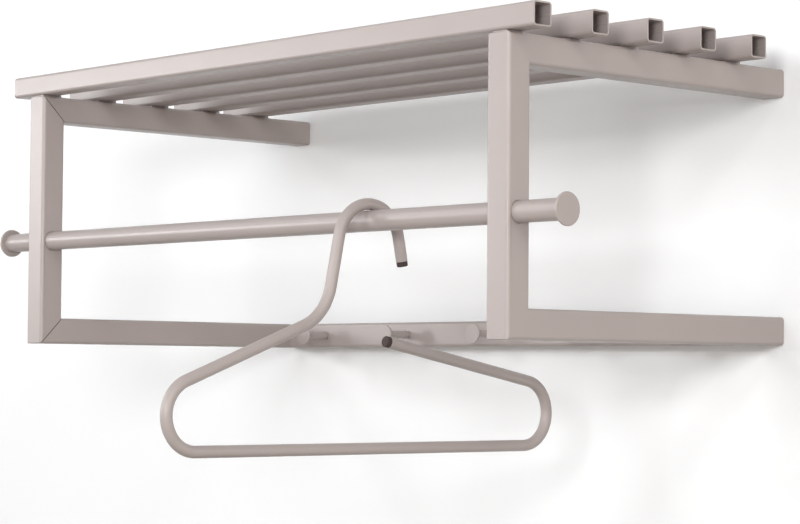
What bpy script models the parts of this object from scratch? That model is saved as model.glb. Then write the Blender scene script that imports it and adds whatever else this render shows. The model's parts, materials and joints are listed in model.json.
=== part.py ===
"""Wall coat rack of steel tube: two side frames, a shelf, a hanging rod with knobs, a peg rail and a hanger.

Metres, +Z up, +X to the right, +Y into the wall. The origin is the middle of the rear rail's back face, on the wall.
"""
import math

import bmesh
import bpy
from mathutils import Matrix, Vector

# Gap that touching pieces keep, and the rod's clearance in its holes
FIT = 0.0003
ROD_CLEARANCE = 0.0003

# Side frames: square tube, mitred where post and arms meet
FRAME_TUBE = 0.025
FRAME_WALL = 0.0015
FRAME_CORNER = 0.0032
FRAME_WIDTH = 0.668
FRAME_HEIGHT = 0.243
FRAME_DEPTH = 0.342

# Plates that close the arms at the wall, the top pair with a keyhole for a wall screw
PLATE_THICKNESS = 0.002
KEYHOLE_ENTRY_DIAMETER = 0.0085
KEYHOLE_SLOT_WIDTH = 0.0045
KEYHOLE_RISE = 0.0065

# Shelf: square tubes across the top arms, the first one flush with the posts
SHELF_COUNT = 5
SHELF_TUBE = 0.020
SHELF_WALL = 0.0015
SHELF_CORNER = 0.003
SHELF_LENGTH = 0.722
SHELF_WALL_GAP = 0.0577
PAD_WIDTH = 0.016
PAD_LENGTH = 0.016
PAD_HEIGHT = 0.0006
WELD_LEG = 0.004

# Hanging rod through the posts, with a knob on each end, pushed a little to the right in its holes
ROD_DIAMETER = 0.018
ROD_WALL = 0.0015
ROD_HEIGHT = 0.1007
ROD_STUB = 0.0477
ROD_OFFSET = 0.0025
KNOB_DIAMETER = 0.027
KNOB_THICKNESS = 0.0024
KNOB_EDGE = 0.0008
KNOB_TAIL_DIAMETER = 0.006
KNOB_TAIL_LENGTH = 0.010
INSERT_LENGTH = 0.012

# Rear rail between the bottom arms, with its row of pegs
RAIL_TUBE = 0.025
RAIL_WALL = 0.0015
RAIL_CORNER = 0.0032
PEG_COUNT = 5
PEG_END_MARGIN = 0.0578
PEG_REACH = 0.031
PEG_STEM_DIAMETER = 0.0076
PEG_HEAD_DIAMETER = 0.019
PEG_HEAD_THICKNESS = 0.0022
PEG_HEAD_EDGE = 0.0006
PEG_TAIL_DIAMETER = 0.005
PEG_TAIL_LENGTH = 0.009
NUT_DIAMETER = 0.0085
NUT_LENGTH = 0.011
NUT_COLLAR_DIAMETER = 0.0115
NUT_COLLAR_LENGTH = 0.003

# Hanger: one bent round tube in a plane square to the rod
HANGER_X = 0.1572
HANGER_TUBE = 0.010
HANGER_WALL = 0.001
HANGER_FRONT_REACH = 0.210
HANGER_REAR_REACH = 0.2143
HANGER_DROP = 0.1905
HANGER_END_RADIUS = 0.0288
HANGER_NECK_RADIUS = 0.0457
HANGER_FRONT_SLOPE = math.radians(20.7)
HANGER_REAR_SLOPE = math.radians(10.8)
HOOK_RADIUS = 0.0339
HOOK_SPLAY = math.radians(11.7)
HOOK_TIP_DROP = 0.0326
SHOULDER_END = 0.023
PLUG_DIAMETER = 0.0095
PLUG_LENGTH = 0.0041
PLUG_EDGE = 0.0008
PLUG_TAIL_LENGTH = 0.008

# How finely round shapes are cut
CORNER_STEPS = 3
EDGE_STEPS = 2
ROD_SIDES = 32
KNOB_SIDES = 28
PEG_SIDES = 16
HANGER_SIDES = 12
BEND_STEP = math.radians(12)
SMOOTH_ANGLE = math.radians(35)

# Finishes: linear colour, roughness, metallic
POWDER_COAT = ((0.56, 0.49, 0.47), 0.45, 0.0)
ZINC = ((0.62, 0.62, 0.60), 0.35, 1.0)
DARK_PLASTIC = ((0.045, 0.038, 0.036), 0.6, 0.0)

# Places worked out from the sizes above
FRONT_Y = -FRAME_DEPTH
BASE_Z = -FRAME_TUBE / 2
FRAME_X = (FRAME_WIDTH - FRAME_TUBE) / 2
TOP_ARM_Z = BASE_Z + FRAME_HEIGHT - FRAME_TUBE / 2
ARM_LENGTH = FRAME_DEPTH - PLATE_THICKNESS - FIT
PAD_Z = BASE_Z + FRAME_HEIGHT + FIT
SHELF_Z = PAD_Z + PAD_HEIGHT + FIT + SHELF_TUBE / 2
SHELF_PITCH = (FRAME_DEPTH - SHELF_WALL_GAP - SHELF_TUBE) / (SHELF_COUNT - 1)
ROD_Y = FRONT_Y + FRAME_TUBE / 2
ROD_Z = BASE_Z + ROD_HEIGHT
ROD_HALF = FRAME_WIDTH / 2 + ROD_STUB
ROD_BORE = ROD_DIAMETER - 2 * ROD_WALL
RAIL_HALF = FRAME_WIDTH / 2 - FRAME_TUBE - FIT
PEG_PITCH = 2 * (RAIL_HALF - PEG_END_MARGIN) / (PEG_COUNT - 1)
SIDES = (("left", -1), ("right", 1))


def clear_scene():
    """Remove every object of the scene."""
    for old in list(bpy.data.objects):
        bpy.data.objects.remove(old, do_unlink=True)


def finish_material(name, finish):
    """Make a plain surface material from a colour, a roughness and a metallic value."""
    colour, roughness, metallic = finish
    made = bpy.data.materials.new(name)
    made.use_nodes = True
    shader = made.node_tree.nodes["Principled BSDF"]
    shader.inputs["Base Color"].default_value = (*colour, 1.0)
    shader.inputs["Roughness"].default_value = roughness
    shader.inputs["Metallic"].default_value = metallic
    return made


def empty(name, location=(0, 0, 0), parent=None):
    """Add an empty that carries pieces which move together."""
    carrier = bpy.data.objects.new(name, None)
    bpy.context.scene.collection.objects.link(carrier)
    carrier.location = location
    carrier.parent = parent
    return carrier


def piece(name, shape, finish, parent, location=(0, 0, 0), rotation=None):
    """Turn a bmesh into a named object with its own material, placed under its carrier."""
    bmesh.ops.recalc_face_normals(shape, faces=shape.faces)
    mesh = bpy.data.meshes.new(name)
    shape.to_mesh(mesh)
    shape.free()
    mesh.shade_smooth()
    mesh.set_sharp_from_angle(angle=SMOOTH_ANGLE)
    made = bpy.data.objects.new(name, mesh)
    bpy.context.scene.collection.objects.link(made)
    made.parent = parent
    made.location = location
    if rotation is not None:
        made.rotation_euler = rotation.to_euler()
    if finish is not None:
        mesh.materials.append(finish_material(name, finish))
    return made


def cut(target, shape, location=(0, 0, 0), rotation=None):
    """Cut a closed shape out of a piece with a Boolean; the shape lies in the piece's own frame."""
    cutter = piece(f"{target.name}_cutter", shape, None, target, location, rotation)
    cutter.hide_render = True
    cutter.display_type = "WIRE"
    boolean = target.modifiers.new("cut", "BOOLEAN")
    boolean.operation = "DIFFERENCE"
    boolean.solver = "EXACT"
    boolean.object = cutter


def arc(centre, radius, start, end, steps):
    """Points of an arc from one angle to another, both ends included."""
    points = []
    for step in range(steps + 1):
        angle = start + (end - start) * step / steps
        points.append((centre[0] + radius * math.cos(angle), centre[1] + radius * math.sin(angle)))
    return points


def rounded_square(side, radius):
    """Outline of a square with rounded corners, centred on the origin."""
    inset = side / 2 - radius
    points = []
    for corner, (right, up) in enumerate(((1, 1), (-1, 1), (-1, -1), (1, -1))):
        start = corner * math.pi / 2
        points += arc((right * inset, up * inset), radius, start, start + math.pi / 2, CORNER_STEPS)
    return points


def loop_of(shape, points):
    """Add a closed loop of vertices to a bmesh."""
    return [shape.verts.new(point) for point in points]


def skin(shape, first, second):
    """Join two loops of equal length with a band of faces."""
    for index, vertex in enumerate(first):
        following = (index + 1) % len(first)
        shape.faces.new((vertex, first[following], second[following], second[index]))


def square_tube(side, wall, corner, length, mitre_start=0, mitre_end=0):
    """Hollow square tube along local +Z; a mitre of 1 or -1 slopes that end at 45 degrees along local Y."""
    shape = bmesh.new()
    inner_corner = max(corner - wall, wall / 4)
    setback = FIT / 2 * math.sqrt(2)
    loops = []
    for outline in (rounded_square(side, corner), rounded_square(side - 2 * wall, inner_corner)):
        bottom = [(u, v, (mitre_start * v + side / 2 + setback) if mitre_start else 0) for u, v in outline]
        top = [(u, v, length - ((mitre_end * v + side / 2 + setback) if mitre_end else 0)) for u, v in outline]
        loops.append((loop_of(shape, bottom), loop_of(shape, top)))
    (outer_bottom, outer_top), (inner_bottom, inner_top) = loops
    skin(shape, outer_bottom, outer_top)
    skin(shape, outer_top, inner_top)
    skin(shape, inner_top, inner_bottom)
    skin(shape, inner_bottom, outer_bottom)
    return shape


def prism(outline, height):
    """Closed solid from an outline, standing on local Z = 0."""
    shape = bmesh.new()
    base = shape.faces.new(loop_of(shape, [(u, v, 0) for u, v in outline]))
    lifted = bmesh.ops.extrude_face_region(shape, geom=[base])["geom"]
    top = [item for item in lifted if isinstance(item, bmesh.types.BMVert)]
    bmesh.ops.translate(shape, verts=top, vec=(0, 0, height))
    return shape


def turned(profile, sides, closed=False):
    """Round solid from a profile of (radius, height) points spun about local Z; a closed profile makes a ring."""
    shape = bmesh.new()
    line = [shape.verts.new((radius, 0, height)) for radius, height in profile]
    pairs = list(zip(line, line[1:]))
    if closed:
        pairs.append((line[-1], line[0]))
    edges = [shape.edges.new(pair) for pair in pairs]
    bmesh.ops.spin(
        shape,
        geom=line + edges,
        cent=(0, 0, 0),
        axis=(0, 0, 1),
        angle=2 * math.pi,
        steps=sides,
        use_merge=True,
    )
    bmesh.ops.remove_doubles(shape, verts=shape.verts, dist=FIT / 100)
    return shape


def cylinder(radius, start, end, sides):
    """Closed cylinder about local Z between two heights."""
    return turned([(0, start), (radius, start), (radius, end), (0, end)], sides)


def ring(outer, inner, start, end, sides):
    """Plain ring about local Z between two heights."""
    return turned([(outer, start), (outer, end), (inner, end), (inner, start)], sides, closed=True)


def disc_with_tail(radius, thickness, edge, tail_radius, tail_end, base=0):
    """Profile of a flat disc with rounded rims above a base height, and a tail that reaches below it."""
    profile = [(0, tail_end), (tail_radius, tail_end), (tail_radius, base)]
    profile += arc((radius - edge, base + edge), edge, -math.pi / 2, 0, EDGE_STEPS)
    profile += arc((radius - edge, base + thickness - edge), edge, 0, math.pi / 2, EDGE_STEPS)
    profile.append((0, base + thickness))
    return profile


def side_frame(side, sign, rack):
    """Post and two arms of one side frame, with their wall plates."""
    turn_to_wall = Matrix.Rotation(-math.pi / 2, 3, "X")
    x = sign * FRAME_X
    section = (FRAME_TUBE, FRAME_WALL, FRAME_CORNER)

    post = square_tube(*section, FRAME_HEIGHT, mitre_start=1, mitre_end=1)
    post = piece(f"post_{side}", post, POWDER_COAT, rack, (x, ROD_Y, BASE_Z))
    hole = cylinder(ROD_DIAMETER / 2 + ROD_CLEARANCE, -FRAME_TUBE, FRAME_TUBE, ROD_SIDES)
    cut(post, hole, (0, 0, ROD_HEIGHT), Matrix.Rotation(math.pi / 2, 3, "Y"))

    top_arm = square_tube(*section, ARM_LENGTH, mitre_start=1)
    piece(f"top_arm_{side}", top_arm, POWDER_COAT, rack, (x, FRONT_Y, TOP_ARM_Z), turn_to_wall)
    bottom_arm = square_tube(*section, ARM_LENGTH, mitre_start=-1)
    piece(f"bottom_arm_{side}", bottom_arm, POWDER_COAT, rack, (x, FRONT_Y, 0), turn_to_wall)

    outline = rounded_square(FRAME_TUBE, FRAME_CORNER)
    plate_y = -PLATE_THICKNESS
    bottom_plate = prism(outline, PLATE_THICKNESS)
    piece(f"bottom_plate_{side}", bottom_plate, POWDER_COAT, rack, (x, plate_y, 0), turn_to_wall)
    top_plate = prism(outline, PLATE_THICKNESS)
    top_plate = piece(f"top_plate_{side}", top_plate, POWDER_COAT, rack, (x, plate_y, TOP_ARM_Z), turn_to_wall)
    cut(top_plate, prism(keyhole_outline(), 3 * PLATE_THICKNESS), (0, 0, -PLATE_THICKNESS))


def keyhole_outline():
    """Keyhole with its round entry below and its slot above; local +Y points down on the plate."""
    entry = KEYHOLE_ENTRY_DIAMETER / 2
    slot = KEYHOLE_SLOT_WIDTH / 2
    drop = KEYHOLE_RISE / 2
    mouth = math.asin(slot / entry)
    steps = 4 * CORNER_STEPS
    points = arc((0, drop), entry, -math.pi / 2 + mouth, 3 * math.pi / 2 - mouth, steps)
    points += arc((0, -drop), slot, math.pi, 2 * math.pi, steps)
    return points


def pad_outline():
    """Side outline of a pad: a thin foot under the tube and a weld bead against the tube's rear face."""
    front = -PAD_LENGTH / 2
    rear = SHELF_TUBE / 2 + FIT
    points = [(front, 0)]
    points += arc((rear, 0), WELD_LEG, 0, math.pi / 2, 2 * CORNER_STEPS)
    points += [(rear, PAD_HEIGHT), (front, PAD_HEIGHT)]
    return points


def shelf(rack):
    """Shelf tubes across the top arms, each welded on a pad over either arm."""
    lie_along_x = Matrix.Rotation(math.pi / 2, 3, "Y")
    stand_across = Matrix(((0, 0, 1), (1, 0, 0), (0, 1, 0)))
    for number in range(SHELF_COUNT):
        y = FRONT_Y + SHELF_TUBE / 2 + number * SHELF_PITCH
        tube = square_tube(SHELF_TUBE, SHELF_WALL, SHELF_CORNER, SHELF_LENGTH)
        place = (-SHELF_LENGTH / 2, y, SHELF_Z)
        piece(f"shelf_tube_{number + 1}", tube, POWDER_COAT, rack, place, lie_along_x)
        for side, sign in SIDES:
            pad = prism(pad_outline(), PAD_WIDTH)
            place = (sign * FRAME_X - PAD_WIDTH / 2, y, PAD_Z)
            piece(f"shelf_pad_{number + 1}_{side}", pad, POWDER_COAT, rack, place, stand_across)


def hanging_rod(carrier):
    """Rod through the posts, with a threaded insert and a knob at each end."""
    lie_along_x = Matrix.Rotation(math.pi / 2, 3, "Y")
    tube = ring(ROD_DIAMETER / 2, ROD_BORE / 2, -ROD_HALF, ROD_HALF, ROD_SIDES)
    piece("hang_rod", tube, POWDER_COAT, carrier, (ROD_OFFSET, 0, 0), lie_along_x)
    knob = disc_with_tail(
        KNOB_DIAMETER / 2, KNOB_THICKNESS, KNOB_EDGE, KNOB_TAIL_DIAMETER / 2, -KNOB_TAIL_LENGTH, FIT
    )
    insert_bore = KNOB_TAIL_DIAMETER / 2 + FIT
    for side, sign in SIDES:
        outward = Matrix.Rotation(sign * math.pi / 2, 3, "Y")
        end = (ROD_OFFSET + sign * ROD_HALF, 0, 0)
        insert = ring(ROD_BORE / 2 - FIT, insert_bore, -INSERT_LENGTH, 0, ROD_SIDES)
        piece(f"rod_insert_{side}", insert, ZINC, carrier, end, outward)
        piece(f"knob_{side}", turned(knob, KNOB_SIDES), POWDER_COAT, carrier, end, outward)


def peg_profile():
    """Peg from its threaded tail to its flat head; height 0 is the rail's front face."""
    stem = PEG_STEM_DIAMETER / 2
    head_base = PEG_REACH - PEG_HEAD_THICKNESS
    tail = PEG_TAIL_DIAMETER / 2
    profile = [(0, -PEG_TAIL_LENGTH), (tail, -PEG_TAIL_LENGTH), (tail, FIT)]
    head = disc_with_tail(PEG_HEAD_DIAMETER / 2, PEG_HEAD_THICKNESS, PEG_HEAD_EDGE, stem, FIT, head_base)
    return profile + head[1:]


def nut_profile():
    """Rivet nut: a sleeve through the rail's front wall with its collar upset behind the wall."""
    bore = PEG_TAIL_DIAMETER / 2 + FIT
    sleeve = NUT_DIAMETER / 2
    collar = NUT_COLLAR_DIAMETER / 2
    collar_top = -RAIL_WALL - FIT
    collar_base = collar_top - NUT_COLLAR_LENGTH
    return [
        (sleeve, 0),
        (bore, 0),
        (bore, -NUT_LENGTH),
        (sleeve, -NUT_LENGTH),
        (sleeve, collar_base),
        (collar, collar_base),
        (collar, collar_top),
        (sleeve, collar_top),
    ]


def peg_rail(rack):
    """Rear rail between the bottom arms, its pegs and the nuts that they screw into."""
    lie_along_x = Matrix.Rotation(math.pi / 2, 3, "Y")
    face_front = Matrix.Rotation(math.pi / 2, 3, "X")
    rail = square_tube(RAIL_TUBE, RAIL_WALL, RAIL_CORNER, 2 * RAIL_HALF)
    rail = piece("rear_rail", rail, POWDER_COAT, rack, (-RAIL_HALF, -RAIL_TUBE / 2, 0), lie_along_x)
    for number in range(PEG_COUNT):
        along = PEG_END_MARGIN + number * PEG_PITCH
        hole = cylinder(NUT_DIAMETER / 2 + FIT, 0, RAIL_TUBE, PEG_SIDES)
        cut(rail, hole, (0, 0, along), face_front)
        place = (along - RAIL_HALF, -RAIL_TUBE, 0)
        piece(f"peg_{number + 1}", turned(peg_profile(), PEG_SIDES), POWDER_COAT, rack, place, face_front)
        nut = turned(nut_profile(), PEG_SIDES, closed=True)
        piece(f"peg_nut_{number + 1}", nut, ZINC, rack, place, face_front)


def bent_path(corners, radii):
    """Points and directions along straight runs whose corners are rounded to the given radii."""
    path = [(corners[0], (corners[1] - corners[0]).normalized())]
    for before, corner, after, radius in zip(corners, corners[1:], corners[2:], radii):
        arriving = (corner - before).normalized()
        leaving = (after - corner).normalized()
        turn = arriving.angle_signed(leaving)
        tangent_length = radius * math.tan(abs(turn) / 2)
        steps = math.ceil(abs(turn) / BEND_STEP)
        start = corner - arriving * tangent_length
        inward = Vector((-arriving.y, arriving.x)) * math.copysign(radius, -turn)
        centre = start + inward
        for step in range(steps + 1):
            swing = Matrix.Rotation(-turn * step / steps, 2)
            path.append((centre + swing @ -inward, swing @ arriving))
    path.append((corners[-1], (corners[-1] - corners[-2]).normalized()))
    return path


def crossing(first, first_way, second, second_way):
    """Point where two lines in the hanger's plane cross."""
    gap = second - first
    along = gap.cross(second_way) / first_way.cross(second_way)
    return first + first_way * along


def hanger_path():
    """Centreline from the hook's tip to the free end of the rear shoulder, in (Y, Z) from the rod's axis."""
    hook_centre = ROD_DIAMETER / 2 + FIT + HANGER_TUBE / 2 - HOOK_RADIUS
    apex = Vector((0, hook_centre + HOOK_RADIUS / math.sin(HOOK_SPLAY)))
    back_leg = Vector((math.sin(HOOK_SPLAY), -math.cos(HOOK_SPLAY)))
    front_leg = Vector((-back_leg.x, back_leg.y))
    tip = apex + back_leg * (apex.y + HOOK_TIP_DROP) / -back_leg.y

    front_run = HANGER_END_RADIUS / math.tan(HANGER_FRONT_SLOPE / 2)
    rear_run = HANGER_END_RADIUS / math.tan(HANGER_REAR_SLOPE / 2)
    front_end = Vector((HANGER_END_RADIUS - HANGER_FRONT_REACH - front_run, -HANGER_DROP))
    rear_end = Vector((HANGER_REAR_REACH - HANGER_END_RADIUS + rear_run, -HANGER_DROP))
    front_shoulder = Vector((math.cos(HANGER_FRONT_SLOPE), math.sin(HANGER_FRONT_SLOPE)))
    neck = crossing(apex, front_leg, front_end, front_shoulder)
    rise = (rear_end.x - SHOULDER_END) * math.tan(HANGER_REAR_SLOPE)
    free_end = Vector((SHOULDER_END, rear_end.y + rise))

    corners = [tip, apex, neck, front_end, rear_end, free_end]
    radii = [HOOK_RADIUS, HANGER_NECK_RADIUS, HANGER_END_RADIUS, HANGER_END_RADIUS]
    return bent_path(corners, radii)


def swept_tube(path, outer, inner, sides):
    """Hollow round tube along a path in the plane X = 0."""
    shape = bmesh.new()
    walls = []
    for radius in (outer, inner):
        rings = []
        for point, way in path:
            points = []
            for across, off in arc((0, 0), radius, 0, 2 * math.pi, sides)[:-1]:
                points.append((across, point.x - off * way.y, point.y + off * way.x))
            rings.append(loop_of(shape, points))
        for first, second in zip(rings, rings[1:]):
            skin(shape, first, second)
        walls.append(rings)
    outer_rings, inner_rings = walls
    skin(shape, outer_rings[0], inner_rings[0])
    skin(shape, outer_rings[-1], inner_rings[-1])
    return shape


def hanger(carrier):
    """Hanger tube on the rod, with a plug in each end."""
    path = hanger_path()
    bore = HANGER_TUBE / 2 - HANGER_WALL
    tube = swept_tube(path, HANGER_TUBE / 2, bore, HANGER_SIDES)
    piece("hanger", tube, POWDER_COAT, carrier)
    plug = disc_with_tail(PLUG_DIAMETER / 2, PLUG_LENGTH, PLUG_EDGE, bore - FIT, -PLUG_TAIL_LENGTH, FIT)
    ends = (("hanger_hook_plug", path[0], -1), ("hanger_shoulder_plug", path[-1], 1))
    for name, (point, way), outward in ends:
        direction = Vector((0, way.x, way.y)) * outward
        turn = direction.to_track_quat("Z", "X").to_matrix()
        piece(name, turned(plug, HANGER_SIDES), DARK_PLASTIC, carrier, (0, point.x, point.y), turn)


def main():
    """Build the whole rack."""
    clear_scene()
    rack = empty("rack")
    rod_axis = empty("rod_axis", (0, ROD_Y, ROD_Z), rack)
    hanger_carrier = empty("hanger_carrier", (HANGER_X, 0, 0), rod_axis)
    for side, sign in SIDES:
        side_frame(side, sign, rack)
    shelf(rack)
    hanging_rod(rod_axis)
    peg_rail(rack)
    hanger(hanger_carrier)


main()
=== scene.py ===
"""Wall coat rack: its finished pieces, their finishes and a small studio, as steps in a sidebar panel."""
import json
import math

import bmesh
import bpy
from bpy.props import FloatProperty, FloatVectorProperty, IntProperty, PointerProperty
from bpy.types import Operator, Panel, PropertyGroup
from mathutils import Matrix, Vector

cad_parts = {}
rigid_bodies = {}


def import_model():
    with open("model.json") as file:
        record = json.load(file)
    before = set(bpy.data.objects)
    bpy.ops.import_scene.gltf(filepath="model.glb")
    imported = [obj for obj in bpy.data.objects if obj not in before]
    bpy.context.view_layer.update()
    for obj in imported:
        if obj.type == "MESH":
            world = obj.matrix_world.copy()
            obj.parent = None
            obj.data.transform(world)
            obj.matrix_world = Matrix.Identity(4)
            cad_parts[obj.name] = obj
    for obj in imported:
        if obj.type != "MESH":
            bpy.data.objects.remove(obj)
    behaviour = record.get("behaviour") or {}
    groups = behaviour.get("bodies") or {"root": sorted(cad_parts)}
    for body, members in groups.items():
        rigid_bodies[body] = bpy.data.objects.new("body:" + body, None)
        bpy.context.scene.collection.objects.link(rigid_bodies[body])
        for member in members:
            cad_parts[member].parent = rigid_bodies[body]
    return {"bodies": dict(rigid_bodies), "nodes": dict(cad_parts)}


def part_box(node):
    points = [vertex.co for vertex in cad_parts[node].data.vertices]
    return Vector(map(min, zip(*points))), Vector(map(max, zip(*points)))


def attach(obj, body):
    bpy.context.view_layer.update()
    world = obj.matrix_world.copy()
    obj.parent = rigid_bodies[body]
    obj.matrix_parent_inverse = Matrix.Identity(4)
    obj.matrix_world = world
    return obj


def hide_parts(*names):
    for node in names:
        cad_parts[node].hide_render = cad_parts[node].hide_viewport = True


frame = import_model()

bl_info = {
    "name": "Wall Coat Rack",
    "version": (1, 0, 0),
    "blender": (4, 5, 0),
    "location": "View3D > Sidebar > Coat Rack",
    "description": "Dress the coat rack's frame with finished tubes, rod, pegs and hanger in a small studio",
    "category": "Add Mesh",
}

MERGE_DISTANCE = 0.000002  # metres, within which two points count as one
TOUCH = 0.00001  # metres, within which a point counts as lying on a surface
SMOOTH_ANGLE = math.radians(35)
SHARP_ANGLE = math.radians(60)
CUT_EDGE_SEGMENTS = 2
ROUND_EDGE_SEGMENTS = 4
WELD_CUTS = 3
NOISE_SPAN = (0.3, 0.7)  # where most values of a noise lie
CRYSTALS_PER_METRE = 900
SENSOR_MILLIMETRES = 36
WHITE = (1, 1, 1)
OUTWARD = {"left": -1, "right": 1}
UPWARD = {"top": 1, "bottom": -1}
SHELF_TUBES = ("shelf_tube_1", "shelf_tube_2", "shelf_tube_3", "shelf_tube_4", "shelf_tube_5")
PEGS = ("peg_1", "peg_2", "peg_3", "peg_4", "peg_5")
LIE_ALONG_X = Matrix.Rotation(math.pi / 2, 4, "Y")
LIE_ALONG_Y = Matrix.Rotation(-math.pi / 2, 4, "X")
FACE_FRONT = Matrix.Rotation(math.pi / 2, 4, "X")


def clear_start_objects():
    """Remove the objects of Blender's start-up scene, which are no part of the rack."""
    kept = [*frame["nodes"].values(), *frame["bodies"].values()]
    for item in list(bpy.data.objects):
        if item not in kept:
            bpy.data.objects.remove(item)


clear_start_objects()
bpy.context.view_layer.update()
ROD_LOW, ROD_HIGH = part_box("hang_rod")
ROD_AXIS = (ROD_LOW + ROD_HIGH) / 2
ROD_RADIUS = (ROD_HIGH.z - ROD_LOW.z) / 2
HANGER_X = sum(corner.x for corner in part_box("hanger")) / 2


def a_length(name, default, description):
    """A length in metres that the panel shows in the scene's unit."""
    return FloatProperty(name=name, description=description, default=default, unit="LENGTH", precision=5)


def an_angle(name, degrees, description):
    """An angle, given in degrees and kept in radians."""
    return FloatProperty(name=name, description=description, default=math.radians(degrees), subtype="ANGLE")


def a_colour(name, default, description):
    """A linear colour of three channels."""
    return FloatVectorProperty(name=name, description=description, default=default, size=3, subtype="COLOR")


def a_power(name, default, description):
    """The power of a lamp in watts."""
    return FloatProperty(name=name, description=description, default=default, unit="POWER")


def a_count(name, default, least, description):
    """A number of facets, with the least that still makes the shape."""
    return IntProperty(name=name, description=description, default=default, min=least)


def an_amount(name, default, description):
    """A number without a unit."""
    return FloatProperty(name=name, description=description, default=default)


def a_place(name, default, description):
    """A place in the rack's own frame."""
    return FloatVectorProperty(name=name, description=description, default=default, subtype="XYZ")


class RackTubeSizes(PropertyGroup):
    """Sizes of the square tubes"""

    wall: a_length("Wall", 0.0015, "Thickness of the steel wall")
    frame_corner: a_length("Frame corner", 0.0032, "Corner radius of the frame and rail tubes")
    shelf_corner: a_length("Shelf corner", 0.0030, "Corner radius of the shelf tubes")
    corner_segments: a_count("Corner segments", 8, 2, "Facets of each corner")
    cut_edge: a_length("Cut edge", 0.0003, "Rounding along the sawn ends and the rims of holes")
    weld_round: a_length("Ground weld", 0.0012, "Rounding of the ground weld along a mitred corner")
    mitre_line: a_length("Mitre line", 0.0009, "Width of the line left open at a mitre's inner face")
    seam_width: a_length("Seam width", 0.0016, "Width of the weld seam inside a shelf tube")
    seam_height: a_length("Seam height", 0.0002, "Height of the weld seam inside a shelf tube")
    seam_segments: a_count("Seam segments", 12, 6, "Facets round the weld seam")


class RackFittingSizes(PropertyGroup):
    """Sizes of the wall plates' keyholes, the rod, its knobs and the pegs"""

    round_segments: a_count("Round segments", 64, 12, "Facets round a turned piece")
    keyhole_entry: a_length("Keyhole entry", 0.0085, "Diameter of a keyhole's round entry")
    keyhole_slot: a_length("Keyhole slot", 0.0045, "Width of a keyhole's slot")
    keyhole_rise: a_length("Keyhole rise", 0.0065, "Height of the slot's end above the entry")
    rod_wall: a_length("Rod wall", 0.0015, "Thickness of the rod's wall")
    rod_play: a_length("Rod play", 0.0003, "Gap round the rod in the posts")
    knob_thickness: a_length("Knob thickness", 0.0024, "Thickness of a knob's disc")
    knob_edge: a_length("Knob edge", 0.0008, "Rounding of a knob's rims")
    knob_tail: a_length("Knob tail", 0.0060, "Diameter of a knob's threaded tail")
    nut_hole: a_length("Nut hole", 0.0091, "Diameter of the holes in the rail for the nuts")
    peg_stem: a_length("Peg stem", 0.0076, "Diameter of a peg's stem")
    peg_tail: a_length("Peg tail", 0.0050, "Diameter of a peg's threaded tail")
    peg_head: a_length("Peg head", 0.0022, "Thickness of a peg's head")
    peg_edge: a_length("Peg edge", 0.0006, "Rounding of a peg head's rims")
    peg_fillet: a_length("Peg fillet", 0.0012, "Fillet between a peg's stem and its head")


class RackHangerSizes(PropertyGroup):
    """Sizes of the clothes hanger"""

    tube: a_length("Tube", 0.010, "Diameter of the hanger's tube")
    wall: a_length("Wall", 0.0010, "Thickness of the tube's wall")
    front_reach: a_length("Front reach", 0.210, "From the rod's axis to the front end")
    rear_reach: a_length("Rear reach", 0.2143, "From the rod's axis to the rear end")
    drop: a_length("Drop", 0.1905, "From the rod's axis down to the lower bar")
    end_radius: a_length("End radius", 0.0288, "Bend radius of both ends")
    neck_radius: a_length("Neck radius", 0.0457, "Bend radius of the neck")
    hook_radius: a_length("Hook radius", 0.0339, "Bend radius of the hook")
    front_slope: an_angle("Front slope", 20.7, "Slope of the front shoulder")
    rear_slope: an_angle("Rear slope", 10.8, "Slope of the rear shoulder")
    hook_splay: an_angle("Hook splay", 11.7, "Lean of the hook's legs from upright")
    tip_drop: a_length("Tip drop", 0.0326, "From the rod's axis down to the hook's open end")
    shoulder_end: a_length("Shoulder end", 0.023, "From the rod's axis back to the shoulder's open end")
    cut_edge: a_length("Cut edge", 0.0002, "Rounding along the tube's sawn ends")
    fit: a_length("Fit", 0.0003, "Gap between the hanger and the rod, and round the plugs")
    sides: a_count("Sides", 32, 8, "Facets round the hanger's tube")
    bend_step: an_angle("Bend step", 3.0, "Turn of one facet along a bend")
    plug_diameter: a_length("Plug diameter", 0.0095, "Diameter of an end plug's cap")
    plug_length: a_length("Plug length", 0.0044, "Length of an end plug's cap")
    plug_edge: a_length("Plug edge", 0.0010, "Rounding of an end plug's rim")
    plug_tail: a_length("Plug tail", 0.0080, "Length of an end plug's tail inside the tube")


class RackFinishes(PropertyGroup):
    """Colours and textures of the finishes"""

    coat_colour: a_colour("Powder coat", (0.414, 0.361, 0.348), "Colour of the powder coat")
    coat_roughness: an_amount("Coat roughness", 0.34, "Roughness of the satin powder coat")
    coat_clouds: a_length("Coat clouds", 0.07, "Size of the powder coat's faint clouds")
    coat_grain: a_length("Coat grain", 0.0011, "Size of the powder coat's fine texture")
    coat_relief: a_length("Coat relief", 0.00004, "Depth of the powder coat's fine texture")
    coat_full: a_length("Full coat", 0.01, "How deep inside an open tube the coat starts to thin")
    coat_reach: a_length("Coat reach", 0.06, "How deep inside an open tube the coat gives out")
    # This dark colour deep inside the tubes is bare steel and also painted shade in their hollows.
    steel_and_shade_colour: a_colour("Bare steel", (0.30, 0.28, 0.27), "Colour of the steel deep inside the tubes")
    plastic_colour: a_colour("Dark plastic", (0.058, 0.040, 0.036), "Colour of the end plugs")
    zinc_colour: a_colour("Zinc", (0.62, 0.62, 0.60), "Colour of the plated nuts and inserts")


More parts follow.
